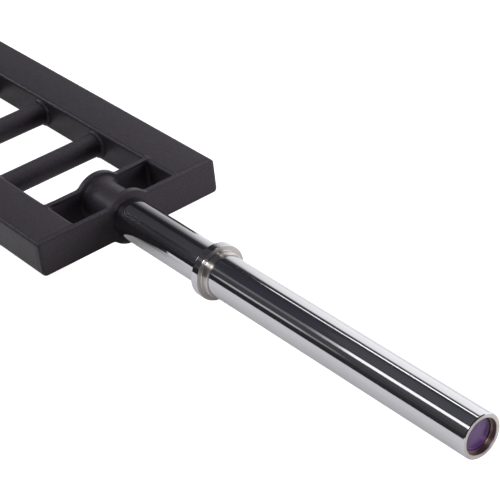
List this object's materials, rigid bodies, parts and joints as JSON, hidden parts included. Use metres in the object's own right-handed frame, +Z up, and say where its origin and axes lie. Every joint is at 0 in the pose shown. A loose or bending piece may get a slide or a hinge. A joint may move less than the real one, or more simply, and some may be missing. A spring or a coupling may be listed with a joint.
{
  "type": "multi-grip triceps bar",
  "caption": "Barbell with a welded ladder frame of cross grips in the middle and a collared sleeve that spins on a bushed spindle at each end.",
  "frame": {"origin": "centre of the bar: on the sleeve axis, midway between the two sleeve tips", "axes": "+X along the bar towards the right sleeve, +Y towards the far rail, +Z up"},
  "size_m": [2.1, 0.253, 0.068],
  "materials": {
    "powder_coat": "satin black powder coat with a fine orange-peel texture",
    "chrome": "bright chrome plating with fine turning lines",
    "steel": "turned and oiled steel",
    "bronze": "oil-filled bronze",
    "cap": "satin purple, bare face with fine rings"
  },
  "bodies": {
    "frame": {"near_rail": "powder_coat", "far_rail": "powder_coat", "outer_plate_right": "powder_coat", "outer_plate_left": "powder_coat", "inner_plate_right": "powder_coat", "inner_plate_left": "powder_coat", "spindle_boss_right": "powder_coat", "spindle_boss_left": "powder_coat", "grip_1": "powder_coat", "grip_2": "powder_coat", "grip_3": "powder_coat", "grip_4": "powder_coat", "grip_5": "powder_coat", "grip_6": "powder_coat", "grip_welds": "powder_coat", "plate_welds_right": "powder_coat", "plate_welds_left": "powder_coat", "spindle_right": "steel", "spindle_left": "steel", "thrust_washer_right": "bronze", "thrust_washer_left": "bronze", "end_washer_right": "steel", "end_washer_left": "steel", "spindle_ring_right": "steel", "spindle_ring_left": "steel"},
    "right_sleeve": {"sleeve_tube_right": "chrome", "collar_right": "chrome", "inner_bush_right": "bronze", "outer_bush_right": "bronze", "end_cap_right": "cap", "cap_ring_right": "steel"},
    "left_sleeve": {"sleeve_tube_left": "chrome", "collar_left": "chrome", "inner_bush_left": "bronze", "outer_bush_left": "bronze", "end_cap_left": "cap", "cap_ring_left": "steel"}
  },
  "joints": [
    {"name": "right_sleeve_spin", "type": "hinge", "parent": "frame", "child": "right_sleeve", "pos_m": [0.4775, 0, 0], "axis": [1, 0, 0], "continuous": true},
    {"name": "left_sleeve_spin", "type": "hinge", "parent": "frame", "child": "left_sleeve", "pos_m": [-0.4775, 0, 0], "axis": [1, 0, 0], "continuous": true}
  ]
}
